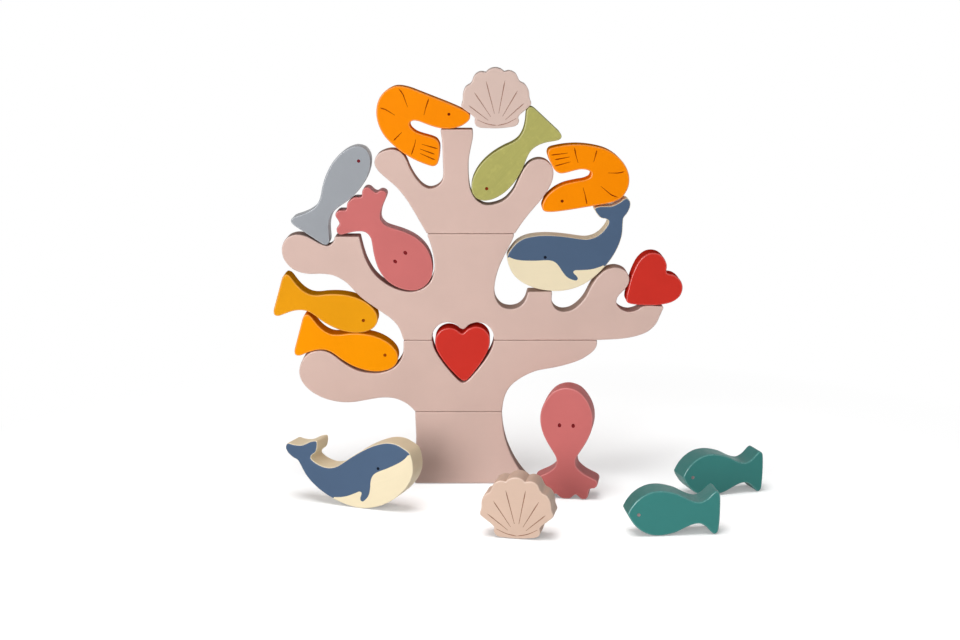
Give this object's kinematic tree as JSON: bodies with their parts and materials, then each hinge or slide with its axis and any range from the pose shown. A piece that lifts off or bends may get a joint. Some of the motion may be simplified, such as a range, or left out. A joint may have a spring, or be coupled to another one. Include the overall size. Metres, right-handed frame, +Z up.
{
  "type": "stacking balance game",
  "caption": "Wooden balance game: a coral tree of loose stacked tiers with flat painted sea creatures that perch in its hollows, and spare creatures standing in front.",
  "frame": {"origin": "middle of the trunk's flat foot, on the surface that the game stands on", "axes": "+Z up, the tree's front faces -Y, +X to the right as seen from the front"},
  "size_m": [0.3514, 0.1443, 0.301],
  "materials": {
    "coral_paint": "matt pale coral paint on wood, edges slightly rounded",
    "red_paint": "satin red paint on wood",
    "shrimp_paint": "satin orange paint on wood with engraved brown lines",
    "shell_paint": "matt sand pink paint on wood with engraved brown lines",
    "grey_paint": "matt grey paint on wood",
    "olive_stain": "matt olive stain with the wood grain showing",
    "mustard_paint": "satin mustard paint on wood",
    "orange_paint": "satin orange paint on wood",
    "teal_paint": "matt teal paint on wood",
    "pink_paint": "matt dusty pink paint on wood",
    "whale_paint": "cream paint on wood with a slate blue back printed on both faces"
  },
  "bodies": {
    "trunk": {"trunk_base": "coral_paint"},
    "lower_tier": {"lower_branch": "coral_paint"},
    "middle_tier": {"middle_branch": "coral_paint"},
    "crown_tier": {"crown_branch": "coral_paint"},
    "centre_heart": {"centre_heart": "red_paint"},
    "side_heart": {"side_heart": "red_paint"},
    "left_shrimp": {"left_shrimp": "shrimp_paint"},
    "right_shrimp": {"right_shrimp": "shrimp_paint"},
    "top_shell": {"top_shell": "shell_paint"},
    "front_shell": {"front_shell": "shell_paint"},
    "grey_fish": {"grey_fish": "grey_paint"},
    "olive_fish": {"olive_fish": "olive_stain"},
    "mustard_fish": {"mustard_fish": "mustard_paint"},
    "orange_fish": {"orange_fish": "orange_paint"},
    "front_teal_fish": {"front_teal_fish": "teal_paint"},
    "back_teal_fish": {"back_teal_fish": "teal_paint"},
    "perched_octopus": {"perched_octopus": "pink_paint"},
    "standing_octopus": {"standing_octopus": "pink_paint"},
    "perched_whale": {"perched_whale": "whale_paint"},
    "standing_whale": {"standing_whale": "whale_paint"}
  },
  "joints": [
    {"name": "lower_tier_lift", "type": "slide", "parent": "trunk", "child": "lower_tier", "axis": [0, 0, 1], "range_m": [0, 0.06]},
    {"name": "middle_tier_lift", "type": "slide", "parent": "lower_tier", "child": "middle_tier", "axis": [0, 0, 1], "range_m": [0, 0.06]},
    {"name": "crown_tier_lift", "type": "slide", "parent": "middle_tier", "child": "crown_tier", "axis": [0, 0, 1], "range_m": [0, 0.06]},
    {"name": "centre_heart_pull", "type": "slide", "parent": "lower_tier", "child": "centre_heart", "axis": [0, -1, 0], "range_m": [0, 0.04]},
    {"name": "orange_fish_pull", "type": "slide", "parent": "lower_tier", "child": "orange_fish", "axis": [0, -1, 0], "range_m": [0, 0.04]},
    {"name": "mustard_fish_pull", "type": "slide", "parent": "lower_tier", "child": "mustard_fish", "axis": [0, -1, 0], "range_m": [0, 0.04]},
    {"name": "grey_fish_pull", "type": "slide", "parent": "middle_tier", "child": "grey_fish", "axis": [0, -1, 0], "range_m": [0, 0.04]},
    {"name": "perched_octopus_pull", "type": "slide", "parent": "middle_tier", "child": "perched_octopus", "axis": [0, -1, 0], "range_m": [0, 0.04]},
    {"name": "perched_whale_pull", "type": "slide", "parent": "middle_tier", "child": "perched_whale", "axis": [0, -1, 0], "range_m": [0, 0.04]},
    {"name": "side_heart_pull", "type": "slide", "parent": "middle_tier", "child": "side_heart", "axis": [0, -1, 0], "range_m": [0, 0.04]},
    {"name": "olive_fish_pull", "type": "slide", "parent": "crown_tier", "child": "olive_fish", "axis": [0, -1, 0], "range_m": [0, 0.04]},
    {"name": "left_shrimp_pull", "type": "slide", "parent": "crown_tier", "child": "left_shrimp", "axis": [0, -1, 0], "range_m": [0, 0.04]},
    {"name": "right_shrimp_pull", "type": "slide", "parent": "crown_tier", "child": "right_shrimp", "axis": [0, -1, 0], "range_m": [0, 0.04]},
    {"name": "top_shell_pull", "type": "slide", "parent": "crown_tier", "child": "top_shell", "axis": [0, -1, 0], "range_m": [0, 0.04]},
    {"name": "standing_whale_lift", "type": "slide", "parent": "trunk", "child": "standing_whale", "axis": [0, 0, 1], "range_m": [0, 0.03]},
    {"name": "standing_octopus_lift", "type": "slide", "parent": "trunk", "child": "standing_octopus", "axis": [0, 0, 1], "range_m": [0, 0.03]},
    {"name": "front_shell_lift", "type": "slide", "parent": "trunk", "child": "front_shell", "axis": [0, 0, 1], "range_m": [0, 0.03]},
    {"name": "front_teal_fish_lift", "type": "slide", "parent": "trunk", "child": "front_teal_fish", "axis": [0, 0, 1], "range_m": [0, 0.03]},
    {"name": "back_teal_fish_lift", "type": "slide", "parent": "trunk", "child": "back_teal_fish", "axis": [0, 0, 1], "range_m": [0, 0.03]}
  ]
}
